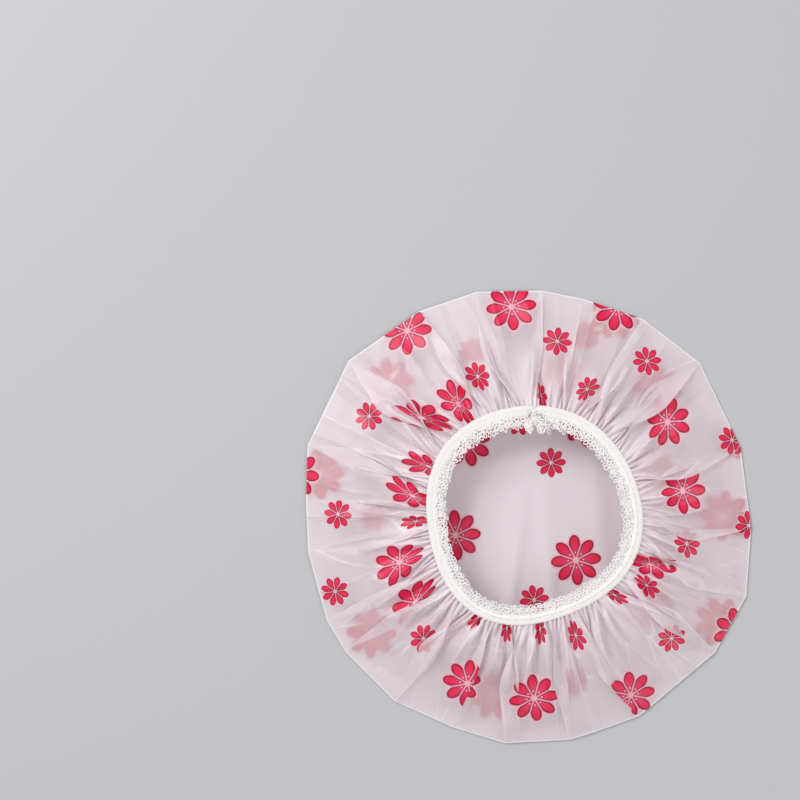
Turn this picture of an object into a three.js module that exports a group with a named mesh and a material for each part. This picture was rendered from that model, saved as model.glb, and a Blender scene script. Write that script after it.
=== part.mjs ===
// A shower cap lying flat with its opening upwards. A round piece of thin film is folded over
// at the rim and gathered into a small elastic band, which carries a lace edging on its inside.
// Millimetres, +Z up. The origin is on the table under the middle of the outline, and the
// trim's two ends meet at +Y.
import * as THREE from 'three';
import { mergeVertices } from 'three/addons/utils/BufferGeometryUtils.js';

// Film crown
const foldRadius = 141.7;    // from the middle to a corner of the outer fold, on average
const filmWall = 0.6;        // drawn thicker than the real film, so that it makes a solid
const foldHeight = 1.4;      // height of the fold's edge over the table
const foldTurn = 5;          // width of the strip where the lower layer lifts to the fold
const foldRoot = 2;          // how deep the two layers lie together at the fold
const gatherRise = 3.2;      // half the height of the gathers where they are tallest
const creaseRise = 1.6;      // half the height of the long creases that run in from the corners
const filmEdgeInset = 2.3;   // how far the film's edge reaches into the band

// Opening and band
const openingRadius = 67.6;  // from the opening's middle to the band's outside, on average
const openingShiftX = 1.5;   // the opening lies a little off the middle of the outline
const openingShiftY = 2;
const ringHeight = 25;       // height of the band's middle over the table
const twoLobeRise = 0.4;     // how far the band wanders from a circle, in two, three and four lobes
const threeLobeRise = 1.5;
const fourLobeRise = 1.3;
const bandWidth = 4.2;
const bandHeight = 2.9;
const bandWall = 0.55;
const bandRound = 0.9;       // rounding of the band's back, towards the lace
const lipRound = 0.25;

// Join of the trim: both ends turn inwards, side by side
const joinGap = 0.5;
const joinBend = 5;          // radius of the turn, on the band's outside
const tailLength = 9;        // straight stretch after the turn

// Rubber threads inside the band
const rubberSize = 0.5;
const rubberGap = 0.35;      // clear space round each rubber thread

// Lace edging
const laceGap = 0.3;         // between the band's back and the lace
const laceWidth = 8.7;
const laceThickness = 0.7;
const laceRuffle = 0.6;      // how far the free edge waves up and down
const eyeletLength = 2.9;    // along the edge
const eyeletWidth = 1.5;     // across the lace
const picotLength = 1.8;
const picotWidth = 1.5;

// Sewing
const seamThread = 0.5;
const seamGap = 0.3;         // between the seam thread and what it lies on
const tackReach = 3.6;       // half width of the tack that holds the two tails together
const tackPitch = 1.1;       // distance from one bar of the tack to the next
const tackPlace = 2.6;       // from the turn to the first bar

// Counts
const gatherDegrees = 8;     // rough width of a gather, seen from the middle
const trimSteps = 110;       // round the ring
const turnSteps = 6;         // round each turn at the join
const tailSteps = 3;
const laceRepeats = 72;
const laceRuffles = 11;
const tackBars = 5;

// Corners of the outer fold, counter-clockwise: azimuth in degrees, and distance from the
// middle as a share of foldRadius. The edge runs straight from each to the next.
const cornerShares = [
  [-96, 1.001], [-82, 0.993], [-73, 0.985], [-61, 1.002], [-36, 1.014], [-20, 1.019],
  [-3, 0.98], [18, 0.981], [30, 0.966], [42, 1.014], [58, 1.008], [76, 0.983],
  [90, 0.995], [103, 1.017], [118, 1.025], [139, 1.05], [162, 1.023], [176, 0.982],
  [189, 0.982], [203, 0.993], [216, 1.001], [234, 1.003], [250, 0.984],
];

// Upper layer from the fold to the band: share of the way out, of the climb, of the gathers'
// height and of the creases' height
const upperShares = [
  { way: 0.45, climb: 0.68, gather: 0.3, crease: 1 },
  { way: 0.15, climb: 0.93, gather: 1, crease: 0.3 },
  { way: 0.03, climb: 1, gather: 0.2, crease: 0 },
];

// The lace across its width, from the band to the free edge: its three rows of holes, and the
// scallops, whose points are a share of the pitch and a share of the width
const rowShares = { header: 0.22, middle: 0.48, picot: 0.76 };
const scallopShares = [[0, 0.68], [0.14, 0.84], [0.34, 1], [0.66, 1], [0.86, 0.84], [1, 0.68]];

// Half the outline of a hole, as shares of half its length and half its width
const holeShares = [[0, -1], [0.8, -0.5], [0.8, 0.5], [0, 1]];

// Gathers are between these shares of their full height
const gatherShares = [0.6, 1];

const joinAzimuth = Math.PI / 2;
const twoLobeAzimuth = 1.43;
const fourLobeAzimuth = -0.5;
const opening = new THREE.Vector2(openingShiftX, openingShiftY);

// A point at a distance and an azimuth from a middle point
function polar(middle, reach, azimuth) {
  return new THREE.Vector2(
    middle.x + reach * Math.cos(azimuth),
    middle.y + reach * Math.sin(azimuth),
  );
}

// The band's outside is a circle with a few soft lobes
function openingPoint(azimuth, inset) {
  const lobes = twoLobeRise * Math.cos(2 * (azimuth - twoLobeAzimuth))
    + threeLobeRise * Math.cos(3 * azimuth)
    + fourLobeRise * Math.cos(4 * (azimuth - fourLobeAzimuth));
  return polar(opening, openingRadius + lobes - inset, azimuth);
}

// The fold's outline, centred on the origin
function foldCorners() {
  const corners = cornerShares.map(([degrees, share]) => (
    polar(new THREE.Vector2(), foldRadius * share, THREE.MathUtils.degToRad(degrees))
  ));
  const middle = new THREE.Box2().setFromPoints(corners).getCenter(new THREE.Vector2());
  return corners.map((corner) => corner.sub(middle));
}

// The fold's outline in even steps, two to a gather and a whole number of gathers to an edge
function foldSteps() {
  const corners = foldCorners();
  return corners.flatMap((corner, i) => {
    const next = corners[(i + 1) % corners.length];
    const degrees = THREE.MathUtils.radToDeg(Math.abs(corner.angleTo(next)));
    const steps = 2 * Math.max(1, Math.round(degrees / gatherDegrees));
    return Array.from({ length: steps }, (_, step) => (
      { point: corner.clone().lerp(next, step / steps), share: step / steps }
    ));
  });
}

// Merges shared vertices, drops collapsed triangles and turns the faces outwards
function closedSolid(geometry) {
  const bare = new THREE.BufferGeometry();
  bare.setAttribute('position', geometry.getAttribute('position'));
  bare.setIndex(geometry.getIndex());
  const merged = mergeVertices(bare, filmWall / 1000);
  const place = merged.getAttribute('position');
  const index = Array.from(merged.getIndex().array);
  const corners = [new THREE.Vector3(), new THREE.Vector3(), new THREE.Vector3()];
  const kept = [];
  let volume = 0;
  for (let i = 0; i < index.length; i += 3) {
    const [a, b, c] = index.slice(i, i + 3);
    if (a === b || b === c || c === a) continue;
    kept.push([a, b, c]);
    corners[0].fromBufferAttribute(place, a);
    corners[1].fromBufferAttribute(place, b);
    corners[2].fromBufferAttribute(place, c);
    volume += corners[0].dot(corners[1].cross(corners[2]));
  }
  const faces = volume < 0 ? kept.map(([a, b, c]) => [a, c, b]) : kept;
  merged.setIndex(faces.flat());
  merged.computeVertexNormals();
  return merged;
}

function mesh(name, geometry, color, roughness) {
  const material = new THREE.MeshStandardMaterial({ color, roughness, metalness: 0 });
  const piece = new THREE.Mesh(closedSolid(geometry), material);
  piece.name = name;
  return piece;
}

// The film is a revolved shell whose profile runs out along its lower layer, round the fold,
// back over the upper layer to the band, and home along the inside. Each point of it is then
// moved to its place on the folds and gathers.
function crownFilm() {
  const outline = foldSteps();
  const climb = ringHeight - foldHeight;
  const lower = (inset, z) => ({ kind: 'lower', inset, z });
  const upper = (drop) => upperShares.map((level) => ({ kind: 'upper', drop, ...level }));
  const edge = (z) => ({ kind: 'edge', z });
  const levels = [
    { kind: 'axis', z: 0 },
    lower(foldTurn, 0),
    lower(0, foldHeight),
    ...upper(0),
    edge(ringHeight + filmWall / 2),
    edge(ringHeight - filmWall / 2),
    ...upper(filmWall).reverse(),
    lower(foldRoot, foldHeight),
    lower(foldTurn, filmWall),
    { kind: 'axis', z: filmWall },
  ];

  function place(level, step) {
    const fold = outline[step].point.clone();
    const azimuth = Math.atan2(fold.y, fold.x);
    if (level.kind === 'axis') return [0, 0, level.z];
    if (level.kind === 'lower') {
      fold.setLength(fold.length() - level.inset);
      return [fold.x, fold.y, level.z];
    }
    if (level.kind === 'edge') {
      const inside = openingPoint(azimuth, filmEdgeInset);
      return [inside.x, inside.y, level.z];
    }
    // Every other step is the top of a gather, and the gathers differ in height
    const side = step % 2 === 0 ? 1 : -1;
    const [least, most] = gatherShares;
    const height = gatherRise * THREE.MathUtils.mapLinear(Math.sin(2.4 * step), -1, 1, least, most);
    const crease = creaseRise * Math.cos(2 * Math.PI * outline[step].share);
    const point = openingPoint(azimuth, 0).lerp(fold, level.way);
    const z = foldHeight + filmWall + climb * level.climb
      + side * height * level.gather + crease * level.crease - level.drop;
    return [point.x, point.y, z];
  }

  const profile = levels.map((level, i) => new THREE.Vector2(
    level.kind === 'axis' ? 0 : foldRadius,
    filmWall * i,
  ));
  const film = new THREE.LatheGeometry(profile, outline.length);
  const position = film.getAttribute('position');
  for (let i = 0; i < position.count; i += 1) {
    const step = Math.floor(i / levels.length) % outline.length;
    position.setXYZ(i, ...place(levels[i % levels.length], step));
  }

  // The top and the underside of the film are cut into triangles along the same diagonals,
  // which change sides at every gather, so the film is as thick between its points as at them
  const rows = levels.length;
  const index = [];
  for (let a = 0; a < rows * outline.length; a += 1) {
    const row = a % rows;
    if (row === rows - 1) continue;
    const [b, c, d] = [a + rows, a + rows + 1, a + 1];
    const top = row < rows / 2;
    const crest = Math.floor(a / rows) % 2 === 0;
    index.push(...(top === crest ? [a, b, c, a, c, d] : [a, b, d, b, c, d]));
  }
  film.setIndex(index);
  return mesh('crown_film', film, 0xf1e6ea, 0.35);
}

// The middle line of the band: up the first tail, round its turn, round the opening, and in
// again beside the first tail. Without tails it starts and ends after the turns.
function trimPath(withTails) {
  const inset = bandWidth / 2;
  const turn = joinBend - inset;
  const side = joinGap / 2 + joinBend;
  const top = openingPoint(joinAzimuth, 0);
  const start = Math.asin(side / (top.y - opening.y));
  const points = [];
  for (let i = 0; i <= trimSteps; i += 1) {
    const azimuth = joinAzimuth + start + (2 * Math.PI - 2 * start) * i / trimSteps;
    points.push(openingPoint(azimuth, inset));
  }
  if (withTails) {
    for (const sign of [-1, 1]) {
      const middle = new THREE.Vector2(opening.x + sign * side, top.y - joinBend);
      const end = [];
      for (let i = 1; i <= turnSteps; i += 1) {
        end.push(polar(middle, turn, joinAzimuth + sign * Math.PI / 2 * i / turnSteps));
      }
      for (let i = 1; i <= tailSteps; i += 1) {
        const reach = tailLength * i / tailSteps;
        end.push(new THREE.Vector2(middle.x - sign * turn, middle.y - reach));
      }
      if (sign < 0) points.unshift(...end.reverse());
      else points.push(...end);
    }
  }
  return points.map((point) => new THREE.Vector3(point.x, point.y, ringHeight));
}

// Sweeps a section along a path that lies flat. The section has x to the right of the path,
// which is outwards on the trim, and y up.
function sweep(section, path) {
  const rows = section.length;
  const vertices = path.flatMap((point, step) => {
    const before = path[Math.max(0, step - 1)];
    const after = path[Math.min(path.length - 1, step + 1)];
    const out = new THREE.Vector3(after.y - before.y, before.x - after.x, 0).normalize();
    return section.flatMap(([x, y]) => [point.x + out.x * x, point.y + out.y * x, point.z + y]);
  });
  const index = [];
  for (let a = 0; a < rows * (path.length - 1); a += 1) {
    const b = (a + 1) % rows === 0 ? a + 1 - rows : a + 1;
    index.push(a, b, b + rows, a, b + rows, a + rows);
  }
  const lid = THREE.ShapeUtils.triangulateShape(section.map(([x, y]) => new THREE.Vector2(x, y)), []);
  const last = rows * (path.length - 1);
  for (const [a, b, c] of lid) index.push(c, b, a, a + last, b + last, c + last);
  const geometry = new THREE.BufferGeometry();
  geometry.setAttribute('position', new THREE.Float32BufferAttribute(vertices, 3));
  geometry.setIndex(index);
  return geometry;
}

// A tape folded in a C round the film's edge, open to the outside and round at the back
function elasticBand() {
  const out = bandWidth / 2;
  const up = bandHeight / 2;
  const roof = up - bandWall;
  const half = [
    [out, roof], [out, up - lipRound], [out - lipRound, up], [bandRound - out, up],
    [bandRound * 0.3 - out, up - bandRound * 0.3], [-out, up - bandRound],
  ];
  const inside = [[bandWall - out, roof], [bandWall - out, -roof]];
  const lower = half.map(([x, y]) => [x, -y]).reverse();
  const section = [...half, ...lower, inside[1], inside[0]];
  return mesh('elastic_band', sweep(section, trimPath(true)), 0xf4f1ec, 0.75);
}

function square(out, up, size) {
  const half = size / 2;
  return [
    [out + half, up], [out, up + half], [out - half, up], [out, up - half],
  ];
}

// Two rubber threads lie one above the other between the film's edge and the band's back
function rubberThread(name, side) {
  const out = bandWall + rubberGap + rubberSize / 2 - bandWidth / 2;
  const up = side * (rubberGap + rubberSize) / 2;
  const section = square(out, up, rubberSize);
  return mesh(name, sweep(section, trimPath(true)), 0xe9dfc9, 0.85);
}

// The seam through both lips of the band and the film between them
function seam(name, side) {
  const up = side * (bandHeight / 2 + seamGap + seamThread / 2);
  const section = square(0, up, seamThread);
  return mesh(name, sweep(section, trimPath(false)), 0xffffff, 0.6);
}

// A knitted lace, drawn as a flat net with rows of holes and a scalloped free edge. One repeat
// of it is cut into triangles and laid round the band again and again. The holes of the middle
// row lie between two repeats, and each takes half of them.
function laceEdging() {
  const repeats = Math.round(laceRepeats);
  const outside = bandWidth + laceGap;
  const clear = joinGap / 2 + joinBend + laceGap;
  const start = Math.asin(clear / (openingRadius - outside - laceWidth / 2));
  const span = 2 * Math.PI - 2 * start;
  const pitch = span * (openingRadius - outside - laceWidth / 2) / repeats;

  // Points of a repeat: x along it, from 0 to 1, and y from the band to the free edge
  const otherHalf = holeShares.slice(1, -1).reverse().map(([x, y]) => [-x, y]);
  const hole = (shares, middle, row, length, width) => shares.map(([x, y]) => new THREE.Vector2(
    middle + x * length / 2 / pitch,
    laceWidth * row + y * width / 2,
  ));
  const eyelet = (shares, middle, row) => hole(shares, middle, row, eyeletLength, eyeletWidth);
  const outline = [
    new THREE.Vector2(1, 0),
    new THREE.Vector2(0, 0),
    ...eyelet(holeShares, 0, rowShares.middle),
    ...scallopShares.map(([x, width]) => new THREE.Vector2(x, laceWidth * width)),
    ...eyelet(holeShares.map(([x, y]) => [-x, y]).reverse(), 1, rowShares.middle),
  ];
  const round = [...holeShares, ...otherHalf];
  const holes = [
    eyelet(round, 0.5, rowShares.header),
    hole(round, 0.5, rowShares.picot, picotLength, picotWidth),
  ];
  const flat = [...outline, ...holes.flat()];
  const faces = THREE.ShapeUtils.triangulateShape(outline, holes);
  const edges = faces.flatMap(([a, b, c]) => [[a, b], [b, c], [c, a]]);
  const rim = edges.filter(([a, b]) => !edges.some(([c, d]) => c === b && d === a));

  const vertices = [];
  const index = [];
  for (let repeat = 0; repeat < repeats; repeat += 1) {
    const base = 2 * flat.length * repeat;
    for (const side of [1, -1]) {
      for (const { x, y } of flat) {
        const azimuth = joinAzimuth + start + span * (repeat + x) / repeats;
        const point = openingPoint(azimuth, outside + y);
        const wave = laceRuffle * y / laceWidth * Math.sin(laceRuffles * azimuth);
        vertices.push(point.x, point.y, ringHeight + wave + side * laceThickness / 2);
      }
    }
    const under = base + flat.length;
    for (const [a, b, c] of faces) {
      index.push(base + a, base + b, base + c, under + c, under + b, under + a);
    }
    for (const [a, b] of rim) {
      // Two repeats meet here, so only the two ends of the lace have a wall
      const [from, to] = [flat[a].x, flat[b].x];
      if (from === to && from === 0 && repeat > 0) continue;
      if (from === to && from === 1 && repeat < repeats - 1) continue;
      index.push(base + b, base + a, under + a, base + b, under + a, under + b);
    }
  }
  const lace = new THREE.BufferGeometry();
  lace.setAttribute('position', new THREE.Float32BufferAttribute(vertices, 3));
  lace.setIndex(index);
  return mesh('lace_edging', lace, 0xf7f4ee, 0.8);
}

// A thread that goes to and fro over the two tails
function joiningTack() {
  const top = openingPoint(joinAzimuth, 0);
  const z = ringHeight + bandHeight / 2 + seamGap + seamThread / 2;
  const points = [];
  for (let bar = 0; bar < tackBars; bar += 1) {
    const side = bar % 2 === 0 ? 1 : -1;
    const y = top.y - joinBend - tackPlace - tackPitch * bar;
    points.push(new THREE.Vector3(opening.x - side * tackReach, y, z));
    points.push(new THREE.Vector3(opening.x + side * tackReach, y, z));
  }
  const path = new THREE.CatmullRomCurve3(points, false, 'centripetal');
  const section = square(0, 0, seamThread);
  return mesh('joining_tack', sweep(section, path.getSpacedPoints(tackBars * 8)), 0xffffff, 0.6);
}

const cap = new THREE.Group();
cap.add(
  crownFilm(),
  elasticBand(),
  rubberThread('rubber_thread_upper', 1),
  rubberThread('rubber_thread_lower', -1),
  laceEdging(),
  seam('needle_thread', 1),
  seam('bobbin_thread', -1),
  joiningTack(),
);
export default cap;
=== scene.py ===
# %% [markdown]
# # A printed shower cap with a lace edge
# The cap lies flat with its opening upwards. It is one round piece of milky film, folded over
# at the rim and gathered into a small elastic band, and the band carries a knitted lace. The
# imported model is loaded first, because it says how large every piece is and where it lies.

# %% Load the frame
import math
from functools import partialmethod

import bpy
import numpy as np
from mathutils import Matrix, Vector


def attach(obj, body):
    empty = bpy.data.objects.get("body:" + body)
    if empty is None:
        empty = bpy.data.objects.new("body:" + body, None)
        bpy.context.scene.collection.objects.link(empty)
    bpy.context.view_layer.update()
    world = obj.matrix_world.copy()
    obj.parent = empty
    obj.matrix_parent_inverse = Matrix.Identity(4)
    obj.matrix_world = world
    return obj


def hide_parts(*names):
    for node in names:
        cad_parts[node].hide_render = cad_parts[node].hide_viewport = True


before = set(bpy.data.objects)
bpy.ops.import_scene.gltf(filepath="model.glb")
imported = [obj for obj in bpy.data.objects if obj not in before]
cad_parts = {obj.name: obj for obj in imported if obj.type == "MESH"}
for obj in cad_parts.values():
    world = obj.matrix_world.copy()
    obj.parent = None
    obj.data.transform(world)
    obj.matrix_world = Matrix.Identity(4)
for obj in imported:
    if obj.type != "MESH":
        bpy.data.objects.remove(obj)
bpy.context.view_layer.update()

MM = 0.001
print("solids:", sorted(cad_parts))

# %% [markdown]
# ## Camera
# The photograph looks straight down from far away, with the cap at its lower right. The scale
# of the picture and the pixel of the cap's middle place the camera.

# %% Camera
PICTURE = 800
MM_PER_PIXEL = 0.62
MIDDLE_PIXEL = (529.3, 517.6)
CAMERA_HEIGHT = 2.4
FILM_TOP = 0.015
SENSOR = 36.0


def from_pixel(x, y):
    """A place on the cap, in millimetres, from a pixel of the photograph."""
    return (x - MIDDLE_PIXEL[0]) * MM_PER_PIXEL, (MIDDLE_PIXEL[1] - y) * MM_PER_PIXEL


def add_object(name, data):
    thing = bpy.data.objects.new(name, data)
    bpy.context.scene.collection.objects.link(thing)
    return thing


def make_camera():
    data = bpy.data.cameras.new("camera")
    data.sensor_width = SENSOR
    data.lens = SENSOR * (CAMERA_HEIGHT - FILM_TOP) / (PICTURE * MM_PER_PIXEL * MM)
    camera = add_object("camera", data)
    x, y = from_pixel(PICTURE / 2, PICTURE / 2)
    camera.location = (x * MM, y * MM, CAMERA_HEIGHT)
    bpy.context.scene.camera = camera


make_camera()

# %% [markdown]
# ## Shader helpers
# A small class wraps a socket, so that shader maths reads like ordinary maths. A second one
# holds a material and adds its nodes.

# %% Shader helpers


class Value:
    """A number that runs through a material: sums and products of it add Math nodes."""

    def __init__(self, finish, socket):
        self.finish = finish
        self.socket = socket

    def _math(self, operation, *others):
        return self.finish.value("ShaderNodeMath", dict(enumerate((self, *others))),
                                 operation=operation)

    __add__ = __radd__ = partialmethod(_math, "ADD")
    __sub__ = partialmethod(_math, "SUBTRACT")
    __mul__ = __rmul__ = partialmethod(_math, "MULTIPLY")
    __truediv__ = partialmethod(_math, "DIVIDE")
    root = partialmethod(_math, "SQRT")
    sine = partialmethod(_math, "SINE")
    cosine = partialmethod(_math, "COSINE")
    size = partialmethod(_math, "ABSOLUTE")
    part = partialmethod(_math, "FRACT")
    least = partialmethod(_math, "MINIMUM")
    most = partialmethod(_math, "MAXIMUM")
    turn_to = partialmethod(_math, "ARCTAN2")

    def __rsub__(self, other):
        return self.finish.value("ShaderNodeMath", {0: other, 1: self}, operation="SUBTRACT")

    def clamped(self):
        return self.most(0.0).least(1.0)


class Finish:
    """A material and the nodes in it."""

    def __init__(self, name):
        self.material = bpy.data.materials.new(name)
        self.material.use_nodes = True
        self.tree = self.material.node_tree
        self.tree.nodes.clear()

    def join(self, item, socket):
        if isinstance(item, Value):
            item = item.socket
        if isinstance(item, bpy.types.NodeSocket):
            self.tree.links.new(item, socket)
        else:
            socket.default_value = item

    def node(self, kind, inputs=None, **settings):
        node = self.tree.nodes.new(kind)
        for key, value in settings.items():
            setattr(node, key, value)
        for key, item in (inputs or {}).items():
            self.join(item, node.inputs[key])
        return node

    def output(self, kind, inputs=None, **settings):
        """The first output of a new node."""
        return self.node(kind, inputs, **settings).outputs[0]

    def value(self, kind, inputs=None, output=0, **settings):
        """An output of a new node, to do sums with."""
        return Value(self, self.node(kind, inputs, **settings).outputs[output])

    def attribute(self, name):
        return self.value("ShaderNodeAttribute", output="Fac", attribute_name=name)

    def split(self, place):
        """The three parts of a place."""
        node = self.node("ShaderNodeSeparateXYZ", {0: place})
        return [Value(self, socket) for socket in node.outputs]

    def noise(self, place, scale, detail=2.0):
        return self.value("ShaderNodeTexNoise",
                          {"Vector": place, "Scale": scale, "Detail": detail})

    def bump(self, height, strength, distance, **below):
        """Normals from a height, over those of the bump that is given as Normal."""
        return self.output("ShaderNodeBump", {
            "Strength": strength, "Distance": distance, "Height": height, **below})

    def mix(self, share, first, second):
        """A colour between two. A node that mixes colours takes them as inputs 6 and 7."""
        return self.node("ShaderNodeMix", {0: share, 6: first, 7: second},
                         data_type="RGBA").outputs[2]

    def mix_shaders(self, share, first, second):
        return self.output("ShaderNodeMixShader", {0: share, 1: first, 2: second})

    def finish_with(self, shader):
        self.node("ShaderNodeOutputMaterial", {"Surface": shader})
        return self.material


def colour(red, green, blue):
    """A colour as a picture program gives it, 0 to 255, turned into the linear one."""
    parts = [part / 255 for part in (red, green, blue)]
    return tuple(p / 12.92 if p <= 0.04045 else ((p + 0.055) / 1.055) ** 2.4
                 for p in parts) + (1.0,)


# %% [markdown]
# ## Pieces
# Every piece is a mesh made from points in millimetres, and is then dressed.

# %% Pieces


def add_mesh(name, points, faces):
    data = bpy.data.meshes.new(name)
    data.from_pydata((points * MM).tolist(), [], faces)
    data.update()
    data.shade_smooth()
    return add_object(name, data)


def sweep(rows):
    """Points and faces of a form through rows of points, each row a closed outline."""
    index = np.arange(rows.shape[0] * rows.shape[1]).reshape(rows.shape[:2])
    beside = np.roll(index, -1, axis=1)
    sides = np.stack([index[:-1], beside[:-1], beside[1:], index[1:]], -1).reshape(-1, 4)
    return rows.reshape(-1, 3), sides.tolist() + [index[0][::-1].tolist(), index[-1].tolist()]


def dressed(piece, node, material):
    """Gives a piece its material, hides the solid of the model that it stands for, and hangs it
    from the root body.
    """
    piece.data.materials.append(material)
    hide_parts(node)
    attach(piece, "root")
    return piece


# %% [markdown]
# ## Floor and light
# The floor is a pale plain sheet, a little greyer than the film, so that the white trim shows.
# Two large soft lamps stand to the sides and the world fills the shadows.

# %% Floor and light
FLOOR_HALF = 4.0
FLOOR_COLOURS = colour(186, 186, 190), colour(191, 191, 195)
LAMPS = [
    # name, place in metres, size and power
    ("key", (-0.95, 0.85, 1.25), 0.8, 17.0),
    ("fill", (1.2, -0.6, 1.1), 1.0, 6.8),
]
WORLD_STRENGTH = 0.6


def make_floor():
    bpy.ops.mesh.primitive_plane_add(size=2 * FLOOR_HALF, location=(0, 0, 0))
    floor = bpy.context.object
    floor.name = "floor"
    finish = Finish("floor_paper")
    grain = finish.value("ShaderNodeTexNoise", {"Scale": 3.0, "Detail": 2.0})
    paper = finish.output("ShaderNodeBsdfPrincipled", {
        "Base Color": finish.mix(grain, *FLOOR_COLOURS), "Roughness": 0.7})
    floor.data.materials.append(finish.finish_with(paper))


def make_lamp(name, place, size, power):
    data = bpy.data.lights.new(name, "AREA")
    data.size = size
    data.energy = power
    lamp = add_object(name, data)
    lamp.location = place
    lamp.rotation_euler = (-Vector(place)).to_track_quat("-Z", "Y").to_euler()


def make_world():
    world = bpy.data.worlds.new("room")
    world.use_nodes = True
    inputs = world.node_tree.nodes["Background"].inputs
    inputs["Color"].default_value = (1, 1, 1, 1)
    inputs["Strength"].default_value = WORLD_STRENGTH
    bpy.context.scene.world = world


make_floor()
for lamp_facts in LAMPS:
    make_lamp(*lamp_facts)
make_world()
bpy.context.scene.view_settings.view_transform = "Standard"

# %% [markdown]
# ## The outline and the opening
# The film is folded along straight edges between a few corners, and the band wanders a little
# from a circle. Both are the formulas of the solids. Only a few corners are moved along the
# outline to where the photo's creases start, which changes it by less than 2 mm, and the one at
# 30 degrees lies 1.4 mm further out, because folded film can't turn inwards there.

# %% Outline and opening
FOLD_REACH = 141.7
CORNER_SHARES = [
    (-96, 1.001), (-79.5, 0.997), (-73, 0.99), (-61, 1.002), (-36, 1.014), (-20, 1.019),
    (-3, 0.98), (18, 0.981), (30, 0.976), (42, 1.014), (60, 1.006), (76, 0.99),
    (86.5, 0.998), (103, 1.017), (118, 1.025), (139, 1.05), (162, 1.023), (176, 0.982),
    (189, 0.982), (207, 0.998), (216, 1.001), (234, 1.003), (250, 0.984),
]
OPENING = np.array([1.5, 2.0])
OPENING_REACH = 67.6
RING_HEIGHT = 25.0
LOBES = [(2, 0.4, 1.43), (3, 1.5, 0.0), (4, 1.3, -0.5)]
BAND_WIDTH = 4.2
BAND_HEIGHT = 2.9
BAND_WALL = 0.55
FILM_INSET = 2.3
JOIN_X = 3.4  # the turn of the trim's two ends, from the middle of the cap
TURN_REACH = 6.2  # radius of the turn, on the band's outside
LAPS = {-1: -0.7, 1: 1.4}  # how far the left end dips and the right end rises
LAP_RUN = 17.0


def direction(angle):
    return np.stack([np.cos(angle), np.sin(angle)], -1)


def length(vectors):
    return np.linalg.norm(vectors, axis=-1)


def unit(vectors, least=0.0):
    """The vectors drawn to the length 1."""
    return vectors / (length(vectors) + least)[..., None]


def opening_point(azimuth, inset=0.0):
    """A point of the band's outside, or so far inside it."""
    reach = OPENING_REACH - inset
    for count, rise, start in LOBES:
        reach = reach + rise * np.cos(count * (azimuth - start))
    return OPENING + reach[..., None] * direction(azimuth)


def fold_corners():
    azimuths, shares = np.array(CORNER_SHARES).T
    corners = (FOLD_REACH * shares)[:, None] * direction(np.radians(azimuths))
    return corners - (corners.max(0) + corners.min(0)) / 2


corners = fold_corners()
edges = np.roll(corners, -1, 0) - corners
edge_angles = np.unwrap(np.arctan2(edges[:, 1], edges[:, 0]))
print("corners:", len(corners), "edge lengths, mm:", length(edges).round(0))

# %% [markdown]
# ## The film
# A flat sheet folded over a straight edge comes back as its mirror image. At each corner of
# the outline two mirror images overlap, and the spare wedge between them lies folded back as a
# tuck, which gives the cap its facets and long creases. So each column of the mesh knows its
# place on the flat sheet, and the fold puts it in space. Towards the band the tucks dissolve
# into gathers, whose height follows from the spare film that they have to take up.

# %% The folded sheet
SHEET_BEYOND = 77.5  # film from the fold to its cut edge
PLAN_SHARE = 0.945  # part of that length that shows from above, because the film climbs
FOLD_Z = 1.2
CLIMB_POWER = 1.6
LOWER_RINGS = 28
UPPER_STEP = 1.5
FACET_COLUMN = 1.15
TUCK_COLUMN = 1.4
LEAST_TUCK_STEPS = 3
LEAST_FACET_STEPS = 6
LEAST_TUCK = math.radians(3)
MOST_TUCK = math.radians(26)
TUCK_SLANT = math.radians(5)
TUCK_START = 0.35  # a tuck lies so much over its facet at the fold
TUCK_RISE_SHARE = 0.11  # and so much more for each millimetre of its width
CREASE_WIDTH = 0.4
HAIR = 1e-6
SEED = 11


def smooth(share):
    """Passes from 0 to 1 without a kink."""
    share = np.clip(share, 0.0, 1.0)
    return share * share * (3 - 2 * share)


def outline_point(azimuth):
    """The outline's point in some direction from the middle."""
    look = direction(azimuth)
    best = np.full(azimuth.shape, np.inf)
    for place, run in zip(corners, edges):
        cross = look[..., 0] * run[1] - look[..., 1] * run[0]
        cross = np.where(cross == 0, HAIR, cross)
        reach = (place[0] * run[1] - place[1] * run[0]) / cross
        share = (place[0] * look[..., 1] - place[1] * look[..., 0]) / cross
        good = (reach > 0) & (share >= -HAIR) & (share <= 1 + HAIR)
        best = np.where(good, np.minimum(best, reach), best)
    return best[..., None] * look


def corner_tucks():
    """Each corner's tuck: its angle, the angles of its two creases, and the side it rises to."""
    count = len(corners)
    turns = np.diff(np.append(edge_angles[-1] - math.tau, edge_angles))
    wedges = np.clip(turns, LEAST_TUCK, MOST_TUCK)
    random = np.random.default_rng(SEED)
    slants = random.uniform(-TUCK_SLANT, TUCK_SLANT, count)
    bisectors = edge_angles - turns / 2 - math.pi / 2
    first = bisectors + slants - wedges / 2
    last = bisectors + slants + wedges / 2
    sides = np.where(random.random(count) < 0.5, 1, -1)
    return wedges, first, last, sides


def crease_shares(width, column, least_steps):
    """Even shares from 0 to 1, with one more close to each end, where a crease runs."""
    steps = max(least_steps, int(round(width / column)))
    beside = CREASE_WIDTH / width
    return np.concatenate([[0, beside], np.linspace(0, 1, steps + 1)[1:-1], [1 - beside, 1]])[None]


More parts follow.
